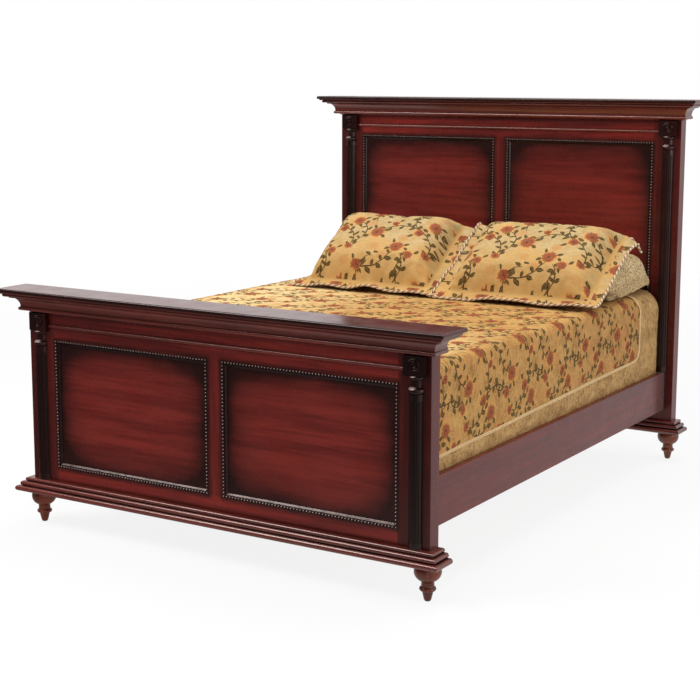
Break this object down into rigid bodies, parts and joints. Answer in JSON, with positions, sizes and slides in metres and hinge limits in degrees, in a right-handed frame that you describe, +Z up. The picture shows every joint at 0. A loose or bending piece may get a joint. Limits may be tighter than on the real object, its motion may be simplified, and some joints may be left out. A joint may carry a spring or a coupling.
{
  "type": "panel bed",
  "caption": "Panel bed with a high headboard, a lower footboard, turned feet, crown-moulded caps, panels edged with beads, side rails, slats and floral bedding.",
  "frame": {"origin": "on the floor, under the centre of the bounding box", "axes": "+X to the right as seen from the foot end, +Y towards the head end, +Z up; both boards show their moulded face to -Y"},
  "size_m": [1.83, 2.269, 1.526],
  "materials": {
    "frame_wood": "satin lacquered red-brown cherry",
    "panel_wood": "satin lacquered red-brown cherry, darker towards its edges",
    "burnished_wood": "near-black burnished and lacquered wood",
    "foot_wood": "satin lacquered brown-red turned wood",
    "raw_hardwood": "planed, unfinished hardwood",
    "zinc_steel": "zinc-plated steel",
    "glide_plastic": "moulded black plastic",
    "mattress_ticking": "quilted white ticking",
    "box_spring_cloth": "plain off-white cloth",
    "coverlet_cloth": "woven gold cloth with a floral vine pattern",
    "sham_cloth": "woven gold cloth with a floral vine pattern and a twisted rope edge",
    "pillow_cloth": "speckled beige woven cloth"
  },
  "bodies": {
    "bed_frame": {"box_spring": "box_spring_cloth", "centre_beam": "raw_hardwood", "centre_leg_foot_end": "raw_hardwood", "centre_leg_head_end": "raw_hardwood", "coverlet": "coverlet_cloth", "footboard_base_moulding": "frame_wood", "footboard_bottom_rail": "frame_wood", "footboard_cap": "frame_wood", "footboard_crown_moulding": "frame_wood", "footboard_foot_left": "foot_wood", "footboard_foot_right": "foot_wood", "footboard_frieze_strip": "frame_wood", "footboard_middle_stile": "frame_wood", "footboard_panel_left": "panel_wood", "footboard_panel_moulding_left": "burnished_wood", "footboard_panel_moulding_right": "burnished_wood", "footboard_panel_right": "panel_wood", "footboard_pilaster_left": "burnished_wood", "footboard_pilaster_right": "burnished_wood", "footboard_post_left": "frame_wood", "footboard_post_right": "frame_wood", "footboard_top_rail": "frame_wood", "frame_screws": "zinc_steel", "headboard_base_moulding": "frame_wood", "headboard_bottom_rail": "frame_wood", "headboard_cap": "frame_wood", "headboard_crown_moulding": "frame_wood", "headboard_foot_left": "foot_wood", "headboard_foot_right": "foot_wood", "headboard_frieze_strip": "frame_wood", "headboard_lower_panel": "panel_wood", "headboard_middle_rail": "frame_wood", "headboard_middle_stile": "frame_wood", "headboard_panel_left": "panel_wood", "headboard_panel_moulding_left": "burnished_wood", "headboard_panel_moulding_right": "burnished_wood", "headboard_panel_right": "panel_wood", "headboard_pilaster_left": "burnished_wood", "headboard_pilaster_right": "burnished_wood", "headboard_post_left": "frame_wood", "headboard_post_right": "frame_wood", "headboard_top_rail": "frame_wood", "mattress": "mattress_ticking", "post_hook_plates": "zinc_steel", "rail_cleat_left": "raw_hardwood", "rail_cleat_right": "raw_hardwood", "rail_hooks": "zinc_steel", "side_rail_left": "frame_wood", "side_rail_right": "frame_wood", "slat_1": "raw_hardwood", "slat_2": "raw_hardwood", "slat_3": "raw_hardwood", "slat_4": "raw_hardwood"},
    "glide_foot_end": {"levelling_glide_foot_end": "glide_plastic"},
    "glide_head_end": {"levelling_glide_head_end": "glide_plastic"},
    "left_pillow": {"pillow_left": "pillow_cloth"},
    "right_pillow": {"pillow_right": "pillow_cloth"},
    "left_sham": {"sham_left": "sham_cloth"},
    "right_sham": {"sham_right": "sham_cloth"}
  },
  "joints": [
    {"name": "glide_foot_end_height", "type": "slide", "parent": "bed_frame", "child": "glide_foot_end", "axis": [0, 0, 1], "range_m": [0, 0.0115]},
    {"name": "glide_head_end_height", "type": "slide", "parent": "bed_frame", "child": "glide_head_end", "axis": [0, 0, 1], "range_m": [0, 0.0115]},
    {"name": "left_pillow_lift", "type": "slide", "parent": "bed_frame", "child": "left_pillow", "axis": [0, 0, 1], "range_m": [0, 0.3]},
    {"name": "right_pillow_lift", "type": "slide", "parent": "bed_frame", "child": "right_pillow", "axis": [0, 0, 1], "range_m": [0, 0.3]},
    {"name": "left_sham_lift", "type": "slide", "parent": "left_pillow", "child": "left_sham", "axis": [0, 0, 1], "range_m": [0, 0.3]},
    {"name": "right_sham_lift", "type": "slide", "parent": "right_pillow", "child": "right_sham", "axis": [0, 0, 1], "range_m": [0, 0.3]}
  ]
}
